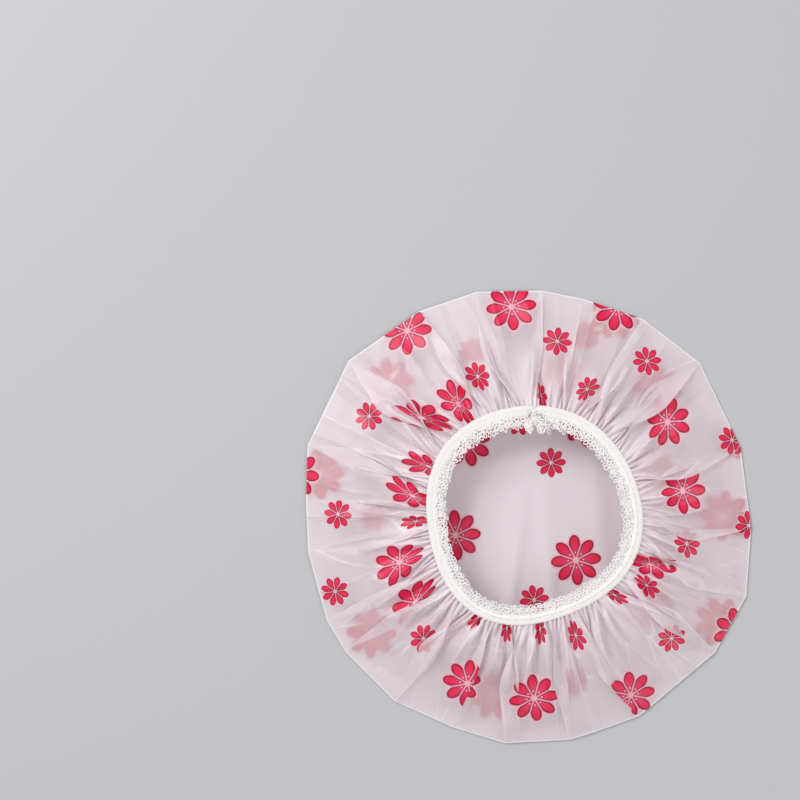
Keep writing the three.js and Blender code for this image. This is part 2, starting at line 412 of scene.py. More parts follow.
def flat_and_folded(levels):
    """The place on the flat sheet and in plan and the lift over the facet, for each level and
    column, and for each column 1 in a tuck, its corner, and its share across."""
    wedges, first, last, sides = corner_tucks()
    count = len(corners)
    normals = edge_angles - math.pi / 2
    beyond = levels[:, None]
    rises = [TUCK_START + TUCK_RISE_SHARE * wedge * beyond for wedge in wedges]
    parts = []
    for k in range(count):
        after = (k + 1) % count
        # The tuck at this corner, from the crease on the edge before to that on this one
        start_run = beyond / np.cos(first[k] - normals[k - 1])
        end_run = beyond / np.cos(last[k] - normals[k])
        share = crease_shares(wedges[k] * SHEET_BEYOND, TUCK_COLUMN, LEAST_TUCK_STEPS)
        run = start_run + (end_run - start_run) * share
        angle = first[k] + (last[k] - first[k]) * share
        mirrored_first = 2 * edge_angles[k - 1] - first[k]
        mirrored_last = 2 * edge_angles[k] - last[k]
        turn = (mirrored_last - mirrored_first + math.pi) % math.tau - math.pi
        mirrored = mirrored_first + turn * share
        parts.append((corners[k] + run[..., None] * direction(angle),
                      corners[k] + PLAN_SHARE * run[..., None] * direction(mirrored),
                      rises[k] * (share if sides[k] > 0 else 1 - share),
                      np.ones_like(share[0]), np.full(share.shape[1], k), share[0]))
        # The facet on this edge, up to the crease at the next corner
        left = corners[k] + end_run[..., None] * direction(last[k])
        right_run = beyond / np.cos(first[after] - normals[k])
        right = corners[after] + right_run[..., None] * direction(first[after])
        width = np.linalg.norm(right[-1] - left[-1])
        share = crease_shares(width, FACET_COLUMN, LEAST_FACET_STEPS)[:, 1:-1]
        places = left + (right - left) * share[..., None]
        normal = direction(normals[k])
        away = (places - corners[k]) @ normal
        lift = (rises[k] * (sides[k] > 0) * (1 - share) ** 2
                + rises[after] * (sides[after] < 0) * share ** 2)
        parts.append((places, places - (1 + PLAN_SHARE) * away[..., None] * normal, lift,
                      np.zeros_like(share[0]), np.full(share.shape[1], k), share[0]))
    return [np.concatenate(part, axis=min(part[0].ndim - 1, 1)) for part in zip(*parts)]


levels = np.linspace(0, SHEET_BEYOND, int(round(SHEET_BEYOND / UPPER_STEP)) + 1)
levels = np.insert(levels, 1, CREASE_WIDTH)
level_shares = (levels / SHEET_BEYOND)[:, None]
flat, folded, lift, in_tuck, corner_of, across = flat_and_folded(levels)
print("columns:", flat.shape[1], "levels:", flat.shape[0])

# %% [markdown]
# The gathers: at the band every millimetre of elastic holds about three millimetres of film.
# The film's place in plan passes from the folded one to an even one, and waves take up the
# spare length, which gives their height: fine ones next to the band and wider ones further out.

# %% Gathers
GATHER_START_SHARE = 0.42
# The third number of each kind of wave is the share at its crest that gets a painted highlight.
FINE_WAVES = (9.5, 2.1, 0.2)  # length, greatest height, and the share that is white crest
WIDE_WAVES = (21.0, 2.9, 0.1)
FINE_START_SHARE = 0.66
FINE_FULL_SHARE = 0.93
CRISPNESS = 0.97
LEAST_SQUEEZE = 0.3
EVENED_COLUMNS = 7  # the squeeze is evened out over so many columns on both sides
WANDER_COUNTS = (5, 9, 14, 23, 31)
FLAT_BEFORE_BAND = 4.5  # over this length the waves flatten, to this share, before the band
LEFT_AT_BAND = 0.3
LAP_START_SHARE = 0.7  # where along the film the laps begin, and over what share
LAP_RUN_SHARE = 0.28
LAP_SIDE = 2.5  # the two laps part over this length beside the join


def some_waves(kind, part, squeeze, phase):
    """Waves with crisper tops than a sine, which take up what is spare, and their crests."""
    wave, most, crest_share = kind
    height = np.minimum(part * np.sqrt(1 / squeeze - 1) * wave * squeeze / math.pi, most)
    edge = math.cos(math.pi * crest_share)
    crests = np.clip((np.sin(phase) - edge) / (1 - edge), 0, 1) * smooth(1.4 * height / most)
    return height * (np.arcsin(CRISPNESS * np.sin(phase)) / math.asin(CRISPNESS)), crests


def squeezed(flat, even, blend):
    """How narrow the film lies against its flat width: 1 where it is flat, less in gathers."""
    even_squeeze = length(even - OPENING) / length(flat)
    squeeze = np.abs((1 - blend) * (1 - 2 * in_tuck) + blend * even_squeeze)
    squeeze = np.clip(squeeze, LEAST_SQUEEZE, 1.0)
    kernel = np.hanning(2 * EVENED_COLUMNS + 1)
    kernel /= kernel.sum()
    wrapped = np.pad(squeeze, ((0, 0), (EVENED_COLUMNS, EVENED_COLUMNS)), mode="wrap")
    return np.stack([np.convolve(row, kernel, mode="valid") for row in wrapped])


def gather_waves(share, squeeze):
    """The height of the gathers, and how close each place is to a crest, from 0 to 1, which later
    sets a painted highlight there.
    """
    steps = length(np.diff(flat[-1], axis=0, append=flat[-1][:1]))
    around = steps.sum()
    turn = math.tau * np.concatenate([[0], np.cumsum(steps)[:-1]]) / around
    random = np.random.default_rng(SEED + 1)
    wander = sum(random.uniform(0.3, 0.9) * np.sin(n * turn + random.uniform(0, 6.3))
                 for n in WANDER_COUNTS)
    fine_phase = round(around / FINE_WAVES[0]) * turn + 1.3 * wander
    wide_phase = round(around / WIDE_WAVES[0]) * turn + 1.1 * wander + 1.0
    uneven = 1 + 0.28 * np.sin(37 * turn + 2 * wander) + 0.2 * np.sin(61 * turn)

    fine_part = smooth((share - FINE_START_SHARE) / (FINE_FULL_SHARE - FINE_START_SHARE))
    fine, fine_crests = some_waves(FINE_WAVES, fine_part, squeeze, fine_phase)
    wide, wide_crests = some_waves(WIDE_WAVES, np.sqrt(1 - fine_part ** 2), squeeze, wide_phase)
    into_band = smooth((1 - share) * SHEET_BEYOND / FLAT_BEFORE_BAND + LEFT_AT_BAND)
    # Some crests get a stronger painted highlight than others.
    patchy = 0.6 + 0.4 * np.sin(17 * turn + wander)
    return (fine * uneven + wide) * into_band, np.maximum(fine_crests, wide_crests) * patchy


def gathered():
    """The upper layer: its places in plan, its heights, and how close each is to a crest."""
    share = level_shares
    azimuth = np.arctan2(flat[..., 1], flat[..., 0])
    rim = outline_point(azimuth)
    even = rim + (opening_point(azimuth, FILM_INSET) - rim) * share[..., None]
    blend = smooth((share - GATHER_START_SHARE) / (1 - GATHER_START_SHARE))
    plan = folded + (even - folded) * blend[..., None]
    waves, crests = gather_waves(share, squeezed(flat, even, blend))

    climb = (RING_HEIGHT - FOLD_Z) * (1 - (1 - share) ** CLIMB_POWER)
    beside = plan[..., 0] - JOIN_X
    lap = np.where(beside > 0, LAPS[1], LAPS[-1]) * smooth(np.abs(beside) / LAP_SIDE)
    lap = lap * (1 - smooth((np.abs(beside) - TURN_REACH) / LAP_RUN)) * (plan[..., 1] > 0)
    lap = lap * smooth((share - LAP_START_SHARE) / LAP_RUN_SHARE)
    height = FOLD_Z + climb + lift * (1 - blend) + waves * smooth(share / 0.12) + lap
    return plan, height, crests


plan, height, crests = gathered()

# %% [markdown]
# Thin film also has small sharp creases from being packed. They are added as a few families of
# low ridges that follow the flat sheet, so that they run on from facet to facet.

# %% Small creases
CREASE_FAMILIES = [(0.35, 41.0, 0.32), (1.25, 33.0, 0.28), (2.3, 47.0, 0.3), (2.9, 26.0, 0.2)]
LOWER_FOLDS = [
    # the two ends of each fold as pixels, its half width and its height in millimetres
    ((508, 640), (522, 500), 4.6, 2.7),
    ((556, 650), (545, 490), 4.4, 2.4),
    ((436, 474), (570, 452), 5.5, 2.3),
    ((608, 600), (594, 460), 5.0, 2.6),
    ((452, 590), (480, 498), 4.6, 2.1),
]
NEAR_RIM_SHARE = 0.93  # beyond it the lower layer climbs to the fold
RIM_RUN_SHARE = 0.07
UNDER_FOLD = 0.15
LEAST_LOWER_Z = 0.08
MIDDLE_Z = 0.25


def small_creases(places, strength):
    """Low ridges over the flat sheet: direction, spacing and height of each family."""
    total = np.zeros(places.shape[:-1])
    for angle, spacing, rise in CREASE_FAMILIES:
        along = places @ direction(angle)
        side = places @ direction(angle + math.pi / 2)
        bend = 0.9 * np.sin(side / 37.0 + 5 * angle) + 0.5 * np.sin(side / 17.0 + angle)
        total += rise * np.arcsin(0.985 * np.sin(math.tau * along / spacing + bend))
    return strength * total


def soft_folds(places):
    """The height of the few wide folds that the flat layer has below the opening."""
    total = np.zeros(places.shape[:-1])
    for first, last, half_width, rise in LOWER_FOLDS:
        start, end = np.array(from_pixel(*first)), np.array(from_pixel(*last))
        run = end - start
        share = np.clip((places - start) @ run / (run @ run), 0.0, 1.0)
        gap = length(places - start - share[..., None] * run)
        total += rise * np.exp(-(gap / half_width) ** 2) * (0.4 + 0.6 * np.sin(math.pi * share))
    return total


def crease_and_highlight_strength():
    """How white each upper vertex is: 1 on a crease or on the fold, less on a crest. On the fold
    and the creases the film lies doubled and the white is partly a painted highlight; on a crest it
    is a painted highlight only.
    """
    starts_or_ends = (in_tuck > 0) & np.isin(across, (0, 1))
    run_out = 1 - smooth((level_shares - 0.45) / 0.3)
    strength = np.maximum(np.where(starts_or_ends, run_out, 0.0), 0.9 * crests)
    strength[:2] = 1.0
    return strength


def film_heights(lower_flat, inner_shares):
    """Heights of the lower layer, from its middle to the fold, and of the upper one."""
    lower_creases = 0.3 * (1 + 0.8 * small_creases(lower_flat, 0.9)) + soft_folds(lower_flat)
    near_rim = smooth((inner_shares - NEAR_RIM_SHARE) / RIM_RUN_SHARE)[:, None]
    lower_z = (np.clip(lower_creases, LEAST_LOWER_Z, None) * (1 - near_rim)
               + (FOLD_Z - UNDER_FOLD) * near_rim)
    swell = smooth(level_shares / 0.15) * smooth((1 - level_shares) / 0.25)
    return lower_z, height + small_creases(flat, 1.0) * swell


def film_faces(index, middle):
    """Faces over a ring of vertex numbers and its middle, without corners that coincide."""
    beside = np.roll(index, -1, axis=1)
    faces = [(middle, first, second) for first, second in zip(index[0], beside[0])
             if first != second]
    around = np.stack([index[:-1], index[1:], beside[1:], beside[:-1]], -1)
    for face in around.reshape(-1, 4).tolist():
        kept = tuple(dict.fromkeys(face))
        if len(kept) > 2:
            faces.append(kept)
    return faces


def film_mesh():
    """Places in space and on the flat sheet, faces, whether each vertex is in the upper layer, how
    white it is, partly by a painted highlight, and how near the band: 0 to 1, or -1 in the lower
    layer."""
    inner_shares = np.linspace(0, 1, LOWER_RINGS + 1)[1:-1]
    inner_shares = np.append(inner_shares, 1 - CREASE_WIDTH / FOLD_REACH)
    lower_flat = inner_shares[:, None, None] * flat[0][None]
    lower_z, upper_z = film_heights(lower_flat, inner_shares)
    flat_all = np.concatenate([lower_flat, flat])
    plan_all = np.concatenate([lower_flat, plan])
    place_all = np.concatenate([plan_all, np.concatenate([lower_z, upper_z])[..., None]], axis=2)
    rows, columns = flat_all.shape[:2]
    index = np.arange(rows * columns).reshape(rows, columns)
    # At the fold and below it a tuck's columns all start from the corner
    last_lower = len(inner_shares)
    goes_on = (in_tuck * np.roll(in_tuck, 1) > 0) & (corner_of == np.roll(corner_of, 1))
    first_column = np.maximum.accumulate(np.where(goes_on, 0, np.arange(columns)))
    index[:last_lower + 1] = index[:last_lower + 1][:, first_column]
    faces = film_faces(index, rows * columns)
    places = np.concatenate([place_all.reshape(-1, 3), [[0, 0, MIDDLE_Z]]])
    flats = np.concatenate([flat_all.reshape(-1, 2), [[0, 0]]])
    used = np.unique(np.concatenate(faces))
    renumber = np.zeros(len(places), int)
    renumber[used] = np.arange(len(used))
    faces = [tuple(renumber[list(face)]) for face in faces]
    is_upper = used >= last_lower * columns
    is_upper[-1] = False
    below = np.zeros(lower_flat.shape[:2])
    whitened_and_highlit = np.append(np.concatenate([below, crease_and_highlight_strength()]).ravel(), 0.0)
    climbed = np.broadcast_to(level_shares, height.shape)
    to_band = np.append(np.concatenate([below - 1, climbed]).ravel(), -1.0)
    return places[used], flats[used], faces, is_upper, whitened_and_highlit[used], to_band[used]


places, flats, faces, is_upper, whitened_and_highlit, to_band = film_mesh()
film = add_mesh("gathered_film", places, faces)
film_data = film.data
# The attribute crease carries the white: a painted highlight on crests, and partly the doubled film
# on the fold and the creases.
for name, values in (("crease", whitened_and_highlit), ("to_band", to_band)):
    film_data.attributes.new(name, "FLOAT", "POINT").data.foreach_set("value", values)
print("film faces:", len(faces), "area, cm2:",
      round(sum(p.area for p in film_data.polygons) * 1e4))

# %% [markdown]
# ## The print
# Daisies of two sizes are scattered over the sheet. Each is placed where it shows on the cap,
# and its middle is looked up on the flat sheet, so that folds cut through it as they do in
# real film. Two UV maps, one for each size, measure every face from its nearest flower.

# %% The print
# Middles as pixels, each with the way a petal points, in degrees, where the photo is clear on it
LARGE_TOP_PIXELS = [
    (511, 305, 6), (406, 331, 4), (619, 307), (457, 404), (422, 417), (668, 421), (413, 495),
    (295, 474, 39), (682, 489), (398, 561, 3), (415, 603), (649, 562), (739, 633, 16),
    (467, 684, 37), (534, 700, 8), (631, 697, 10), (429, 468),
]
SMALL_TOP_PIXELS = [
    (558, 340), (646, 360, 5), (477, 378), (587, 388), (368, 417, 22), (735, 439),
    (338, 513, 40), (415, 520), (688, 544), (334, 593, 33), (646, 586), (423, 639), (479, 617),
    (505, 628), (574, 635), (672, 639, 27), (541, 396), (751, 525), (613, 593), (538, 628),
]
LARGE_LOWER_PIXELS = [
    (467, 442, 15), (456, 536, 4), (577, 561, 5), (588, 422), (389, 382), (659, 389),
    (496, 698), (727, 517), (371, 635), (656, 475), (560, 378), (650, 606),
]
SMALL_LOWER_PIXELS = [
    (552, 463, 2), (535, 601, 10), (520, 421), (374, 518), (737, 445), (575, 685), (473, 350),
    (457, 624), (588, 334),
]
FLOWERS = [
    # UV map, pixels on the upper and on the lower layer, and a flower's reach in millimetres
    ("large_flowers", LARGE_TOP_PIXELS, LARGE_LOWER_PIXELS, 15.8),
    ("small_flowers", SMALL_TOP_PIXELS, SMALL_LOWER_PIXELS, 9.2),
]
MIDDLE_REACH = 1.2  # a middle further than this from the film lies past the rim
MIDDLE_SLACK = 0.3
UNFOLD_REACH = 5.0  # how far round a middle the film is compared with the flat sheet


def sheet_places(pixels, upper):
    """Where the flowers of some pixels lie on the flat sheet, and the way of a petal there.

    A middle past the rim is found on the film that turns under there."""
    found = []
    for x, y, *way in pixels:
        place = np.array(from_pixel(x, y))
        way = direction(math.radians(way[0] if way else math.nan))
        if upper:
            gap = length(places[:, :2] - place)
            near = is_upper & (gap < max(MIDDLE_REACH, gap[is_upper].min() + MIDDLE_SLACK))
            top = np.flatnonzero(near)[np.argmax(places[near, 2])]
            near = is_upper & (length(flats - flats[top]) < UNFOLD_REACH)
            seen, flat_out = places[near, :2] - places[top, :2], flats[near] - flats[top]
            unfolded = np.linalg.lstsq(seen, flat_out, rcond=None)[0]
            way = way @ unfolded
            past_rim = (place - places[top, :2]) * (gap[top] > MIDDLE_REACH)
            place = flats[top] + past_rim @ unfolded
        found.append((*place, math.atan2(way[1], way[0])))
    return np.array(found)


def flower_uv(name, flowers, reach, seed):
    """A UV map that measures each face from its nearest flower, in shares of its reach."""
    random = np.random.default_rng(seed)
    middles = flowers[:, :2]
    turns = np.where(np.isnan(flowers[:, 2]), random.uniform(0, math.tau, len(flowers)),
                     flowers[:, 2])
    totals = np.array([len(face) for face in faces])
    face = np.repeat(np.arange(len(totals)), totals)
    on_sheet = flats[np.concatenate(faces)]
    centre = np.zeros((len(totals), 2))
    np.add.at(centre, face, on_sheet)
    centre /= totals[:, None]
    nearest = length(centre[:, None] - middles[None]).argmin(1)[face]
    offset = (on_sheet - middles[nearest]) / reach
    cosine, sine = np.cos(turns[nearest]), np.sin(turns[nearest])
    turned = np.stack([offset[:, 0] * cosine + offset[:, 1] * sine,
                       offset[:, 1] * cosine - offset[:, 0] * sine], axis=1)
    film_data.uv_layers.new(name=name).data.foreach_set("uv", turned.ravel())


for number, (name, top_pixels, lower_pixels, reach) in enumerate(FLOWERS):
    flowers = np.concatenate([sheet_places(top_pixels, True), sheet_places(lower_pixels, False)])
    flower_uv(name, flowers, reach, SEED + 2 + number)
    print(name, len(flowers))

# %% [markdown]
# ## The film's finish
# Milky film scatters light both ways: some comes back, some goes through as a soft glow, and a
# little passes, straight or blurred. Creases, the crests of the gathers, fine pleats and the fold
# are painted white and more opaque as highlights; on the fold and the tucks' creases, where the
# film lies doubled, the white is partly real. The flowers are printed in transparent crimson ink
# that covers more. Sizes in the sums of daisy are shares of a flower's reach.

# %% Film finish
PETALS = 8
PLEATS = 30.0  # how many fine pleats a radian round the opening has
CREASES = 6.5  # and how many long creases
MILK = colour(251, 240, 245)
# The white of the painted highlights, and of the doubled film at the fold.
WHITE_AND_HIGHLIGHT = colour(255, 254, 255)
BLEED = colour(255, 182, 200)
INK = colour(240, 20, 78)
INK_RIM = colour(132, 6, 42)
INK_HEART = colour(246, 84, 128)
GLOW = colour(252, 248, 251)
INK_GLOW = colour(242, 36, 92)
SMOOTH_ANGLE = math.radians(50)


def daisy(finish, uv_name, dots):
    """One daisy round the origin of a UV map: its petals, what lies inside their rim, the soft
    edge round it, and the distance from its middle."""
    x, y, _ = finish.split(finish.output("ShaderNodeUVMap", uv_map=uv_name))
    reach = (x * x + y * y).root()
    turn = y.turn_to(x) * (PETALS / math.tau)
    off_axis = ((turn.part() - 0.5).size() * -1.0 + 0.5) * (math.tau / PETALS)
    along = reach * off_axis.cosine()
    aside = reach * off_axis.sine()
    tip = (along - 0.64).most(0.0) / 0.36
    width = (along * 0.414 - 0.012).least(0.235) * (1.0 - tip * tip).most(0.0).root()
    inside = (width - aside).least((along - 0.1) * 0.5).least(1.0 - along)
    petals = (inside * 45.0).clamped()
    body = (inside * 22.0 - 1.3).clamped()
    bleed = (inside * 11.0 + 1.4).clamped()
    if dots:
        dot_gap = ((along - 0.3) * (along - 0.3) + aside * aside).root()
        petals = petals * (1.0 - ((0.042 - dot_gap) * 60.0).clamped())
    return petals, body, bleed, along


def around_opening(finish, place, turns, reaches):
    """A place for textures that run out from the opening: stretched along its radii."""
    x, y, _ = finish.split(place)
    x = x - float(OPENING[0] * MM)
    y = y - float(OPENING[1] * MM)
    reach = (x * x + y * y).root()
    return finish.output("ShaderNodeCombineXYZ", {
        0: x / reach * turns, 1: y / reach * turns, 2: reach * reaches})


def pleat_lines(finish, place):
    """Thin streaks that run out from the band: 1 on a line, 0 beside it. They are bumped and also
    painted white, as a highlight.
    """
    spot = around_opening(finish, place, PLEATS, 20.0)
    streak = finish.noise(spot, 0.7, 0.5)
    return 1.0 - ((streak - 0.5).size() * 13.0).clamped()


def crease_lines(finish, place):
    """Long creases that run outwards: thin lines painted white as a highlight, and the soft ridges
    they top.
    """
    spot = around_opening(finish, place, CREASES, 9.0)
    to_edge = finish.value("ShaderNodeTexVoronoi", {"Vector": spot, "Scale": 1.0},
                           feature="DISTANCE_TO_EDGE")
    patchy = finish.noise(place, 34.0)
    shown = ((patchy - 0.47) * 8.0).clamped()
    line = (1.0 - to_edge * 60.0).clamped() * shown
    ridge = (1.0 - to_edge * 2.6).clamped()
    return line, ridge * ridge


def film_finish():
    finish = Finish("milky_film")
    *large, along = daisy(finish, "large_flowers", True)
    *small, _ = daisy(finish, "small_flowers", False)
    ink, body, bleed = (one.most(other) for one, other in zip(large, small))
    heart = (large[0] * (0.7 - along)).clamped() * 1.3
    # The crease attribute: white on the fold, the creases and the crests, mostly a painted
    # highlight.
    crease = (finish.attribute("crease") * 1.6 - 0.5).clamped()
    ink_colour = finish.mix(heart.clamped(), finish.mix(body, INK_RIM, INK), INK_HEART)
    place = finish.node("ShaderNodeTexCoord").outputs["Object"]
    to_band = finish.attribute("to_band")
    upper = (to_band * 40.0 + 1.0).clamped()
    gathers = ((to_band - 0.6) * 2.8).clamped()
    # Pleat lines near the band: bumped, and painted white as a highlight.
    line = pleat_lines(finish, place) * gathers * gathers
    painted_crease_highlight, ridge = crease_lines(finish, place)
    # Painted highlight: the crease attribute, the pleat lines and the long crease lines turn the
    # film white and more opaque.
    whitening_and_highlight = crease.most(line * 0.5).most(painted_crease_highlight * upper * 0.8)
    milk = finish.mix(whitening_and_highlight, finish.mix(bleed * 0.85, MILK, BLEED), WHITE_AND_HIGHLIGHT)
    surface_colour = finish.mix(ink, milk, ink_colour)
    fine, cloud = finish.noise(place, 900.0, 3.0), finish.noise(place, 55.0)
    grain = finish.bump(fine, 0.12, 0.0002)
    folds = finish.bump(ridge * upper, 0.5, 0.003, Normal=grain)
    surface = finish.output("ShaderNodeBsdfPrincipled", {
        "Base Color": surface_colour,
        "Roughness": cloud * 0.12 + 0.3,
        "IOR": 1.48,
        "Normal": finish.bump(line, 0.45, 0.0005, Normal=folds),
    })
    glow, ink_glow = (finish.output("ShaderNodeBsdfTranslucent", {"Color": tint})
                      for tint in (GLOW, INK_GLOW))
    body_shader = finish.mix_shaders(0.16, surface, finish.mix_shaders(ink, glow, ink_glow))
    blurred = finish.output("ShaderNodeBsdfRefraction", {"Roughness": 0.55, "IOR": 1.33})
    through = finish.mix_shaders(0.6, finish.output("ShaderNodeBsdfTransparent"), blurred)
    # More cover towards the band, partly the denser gathered film and partly a painted lightening
    # against the shade there, and more on the lower layer, a painted lightening against the band's
    # shade.
    doubled_and_lightened = ((to_band - 0.5) * 2.2).clamped() * 0.42 + (1.0 - upper) * 0.34
    cover = (ink * 0.4 + whitening_and_highlight * 0.36 + bleed * 0.42 + doubled_and_lightened + 0.45).least(0.97)
    return finish.finish_with(finish.mix_shaders(cover, through, body_shader))


film_data.materials.append(film_finish())
bpy.ops.object.select_all(action="DESELECT")
film.select_set(True)
bpy.context.view_layer.objects.active = film
bpy.ops.object.shade_smooth_by_angle(angle=SMOOTH_ANGLE)
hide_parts("crown_film")
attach(film, "root")

# %% [markdown]
# ## The trim's path
# The band goes round the opening, and at the top its two ends turn inwards. The right end lies
# over the left one, and below the turn the two ends spread a little.

# %% The trim's path
TURN_OVERLAP = 1.9  # how far each end's outside reaches past the join
TAILS = {-1: 9.0, 1: 10.2}  # straight stretch of the left and the right end
SPLAYS = {-1: math.radians(30), 1: math.radians(26)}
TURN_POINTS = 8
RING_POINTS = 240
RING_GAP = math.radians(3)  # the ring's points begin so far from the last ones of the turn
BAND_STEP = 0.6


def even_path(points, step):
    """Rounds a line through some points and cuts it into even steps."""
    for _ in range(3):
        cut = np.empty((2 * len(points) - 2, 2))
        cut[0::2] = points[:-1] * 0.75 + points[1:] * 0.25
        cut[1::2] = points[:-1] * 0.25 + points[1:] * 0.75
        points = np.concatenate([points[:1], cut, points[-1:]])
    runs = np.concatenate([[0], np.cumsum(length(np.diff(points, axis=0)))])
    at = np.linspace(0, runs[-1], int(round(runs[-1] / step)) + 1)
    return np.stack([np.interp(at, runs, row) for row in points.T], 1), at


def trim_end(sign):
    """Points of one end, from its tip to the ring: -1 is the left end and 1 the right one."""
    top = opening_point(math.pi / 2)[1]
    turn = TURN_REACH - BAND_WIDTH / 2
    side = TURN_REACH - TURN_OVERLAP
    middle = np.array([JOIN_X + sign * side, top - TURN_REACH])
    last = math.pi / 2 + SPLAYS[sign]
    turned = [middle + turn * direction(math.pi / 2 + sign * part)
              for part in np.linspace(last, 0, TURN_POINTS)]
    ahead = direction(math.pi / 2 + sign * (last + math.pi / 2))
    return [turned[0] + ahead * TAILS[sign] * share for share in (1.0, 0.5)] + turned


def trim_path():
    """The band's middle line, from the tip of the left end round to that of the right end."""
    inset = BAND_WIDTH / 2
    left, right = trim_end(-1), trim_end(1)
    first = math.atan2(*(left[-1] - OPENING)[::-1]) + RING_GAP
    last = math.atan2(*(right[-1] - OPENING)[::-1]) - RING_GAP + math.tau
    ring = [opening_point(azimuth, inset) for azimuth in np.linspace(first, last, RING_POINTS)]
    path, run = even_path(np.array(left + ring + right[::-1]), BAND_STEP)
    ahead = unit(np.gradient(path, axis=0))
    outwards = np.stack([ahead[:, 1], -ahead[:, 0]], 1)
    lap = np.zeros(len(run))
    for sign, away in ((-1, run), (1, run[-1] - run)):
        lap += LAPS[sign] * (1 - smooth((away - (TAILS[sign] + TURN_REACH)) / LAP_RUN))
    return path, outwards, run, lap


path, outwards, run, lap = trim_path()
print("band length, mm:", run[-1].round(0), "steps:", len(path))


def on_trim(along, outward, up):
    """Lays points beside the trim's path: how far along, how far outwards, and how far up."""
    facts = (*path.T, *outwards.T, lap)
    x, y, out_x, out_y, raised = (np.interp(along, run, values) for values in facts)
    base, away = np.stack([x, y], -1), unit(np.stack([out_x, out_y], -1))
    beyond = along - np.clip(along, 0, run[-1])
    base = base + beyond[..., None] * np.stack([-away[..., 1], away[..., 0]], -1)
    place = base + away * outward[..., None]
    return np.concatenate([place, (RING_HEIGHT + raised + up)[..., None]], -1)


# %% [markdown]
# ## The elastic band
# The band is a soft white tape folded round the film's edge, with a narrow slot at the outside
# where the film goes in. Its outline is swept along the path, a little uneven as stretched
# elastic is, and flatter at the two ends.

# %% Knitted finish


def knit_finish(name, tint, hollow_shade, scale, depth):
    """Yarn: a fine grain of stitches of one colour, and a darker colour, painted shade, in the
    hollows between them.
    """
    finish = Finish(name)
    place = finish.node("ShaderNodeTexCoord").outputs["Object"]
    yarn = finish.value("ShaderNodeTexVoronoi", {"Vector": place, "Scale": scale})
    soft = finish.noise(place, scale * 0.12, 3.0)
    surface = finish.output("ShaderNodeBsdfPrincipled", {
        # The hollows of the grain get the darker colour: painted shade.
        "Base Color": finish.mix((yarn * 1.1 - 0.25 + soft * 0.2).clamped(),
                                 colour(*tint), colour(*hollow_shade)),
        "Roughness": soft * 0.2 + 0.62,
        "Sheen Weight": 0.15,
        "Normal": finish.bump(1.0 - yarn, 0.6, depth),
    })
    return finish.finish_with(surface)


# %% The band
SLOT_HALF_ANGLE = math.radians(13)
BAND_SQUARENESS = 2.6
BAND_VISIBLE_WIDTH = 4.7
END_ROUNDING = 2.2  # over this length the two tips of the band round off
END_FLATTENING = 12.0  # and over this length the band gets flatter
OUTER_POINTS = 22
INNER_POINTS = 10
LIP_ANGLE = 0.15  # the inner wall stops so far short of the slot
UNEVENNESS = ((1.9, 0.018), (3.3, 0.022), (7.1, 0.03), (19.0, 0.03))  # wave lengths and rises


def band_section():
    """Outwards and upwards places of the folded tape's outline, with its slot outwards."""
    def outline(out, up, angles):
        power = 2 / BAND_SQUARENESS
        x, y = np.cos(angles), np.sin(angles)
        return np.stack([out * np.sign(x) * np.abs(x) ** power,
                         up * np.sign(y) * np.abs(y) ** power], 1)

    half_turn = math.tau - SLOT_HALF_ANGLE
    outer = outline(BAND_VISIBLE_WIDTH / 2, BAND_HEIGHT / 2,
                    np.linspace(SLOT_HALF_ANGLE, half_turn, OUTER_POINTS))
    inner = outline(BAND_VISIBLE_WIDTH / 2 - BAND_WALL, BAND_HEIGHT / 2 - BAND_WALL,
                    np.linspace(half_turn - LIP_ANGLE, SLOT_HALF_ANGLE + LIP_ANGLE,
                                INNER_POINTS))
    return np.concatenate([outer, inner])


def make_band():
    section = band_section()
    random = np.random.default_rng(SEED + 10)
    waves = sum(size * np.sin(math.tau * run / wave + random.uniform(0, 6.3))
                for wave, size in UNEVENNESS)
    slack = np.minimum(run, run[-1] - run)
    flat_end = 0.72 + 0.28 * smooth(slack / END_FLATTENING)
    round_end = np.sqrt(1 - np.clip(1 - (slack + 0.1) / END_ROUNDING, 0, 1) ** 2)
    outward = np.outer((1 + 0.6 * waves) * round_end, section[:, 0])
    up = np.outer((1 + waves) * flat_end * round_end ** 0.6, section[:, 1])
    return add_mesh("folded_band", *sweep(on_trim(run[:, None], outward, up)))


# The second colour of each knit finish is painted shade in the hollows.
white_knit = knit_finish("white_knit", (243, 237, 235), (229, 223, 221), 2100.0, 0.00009)
band = dressed(make_band(), "elastic_band", white_knit)
print("band faces:", len(band.data.polygons))

# %% [markdown]
# ## Threads in and on the band
# Two rubber threads run inside the tape. The seam's stitches dip in and out of the band's top
# and its underside, and a few bars of thread tack the two ends together.

# %% Threads
LEAST = 1e-12  # added to a length, so that none is zero
THREAD_SIDES = 6
THREAD_REACH = 0.2
RUBBER_REACH = 0.25
RUBBER_INSIDE = 1.1  # the rubber threads' places in the band
RUBBER_UP = 0.42
STITCH = 2.4
STITCH_STEP = 0.3
SEAM_INSIDE = 1.05
SEAM_MARGIN = 4.0
TACK_BARS = 6
TACK_POINTS = 40
TACK_HALF = 2.9
TACK_STEP = 0.8


def thread(name, points, radius):
    """A round thread along a line of points."""
    ahead = unit(np.gradient(points, axis=0), LEAST)
    aside = unit(np.cross(ahead, [0.0, 0.0, 1.0]), LEAST)
    over = np.cross(aside, ahead)
    angles = np.linspace(0, math.tau, THREAD_SIDES, endpoint=False)
    rows = (points[:, None] + radius * (np.cos(angles)[None, :, None] * aside[:, None]
                                        + np.sin(angles)[None, :, None] * over[:, None]))
    return add_mesh(name, *sweep(rows))


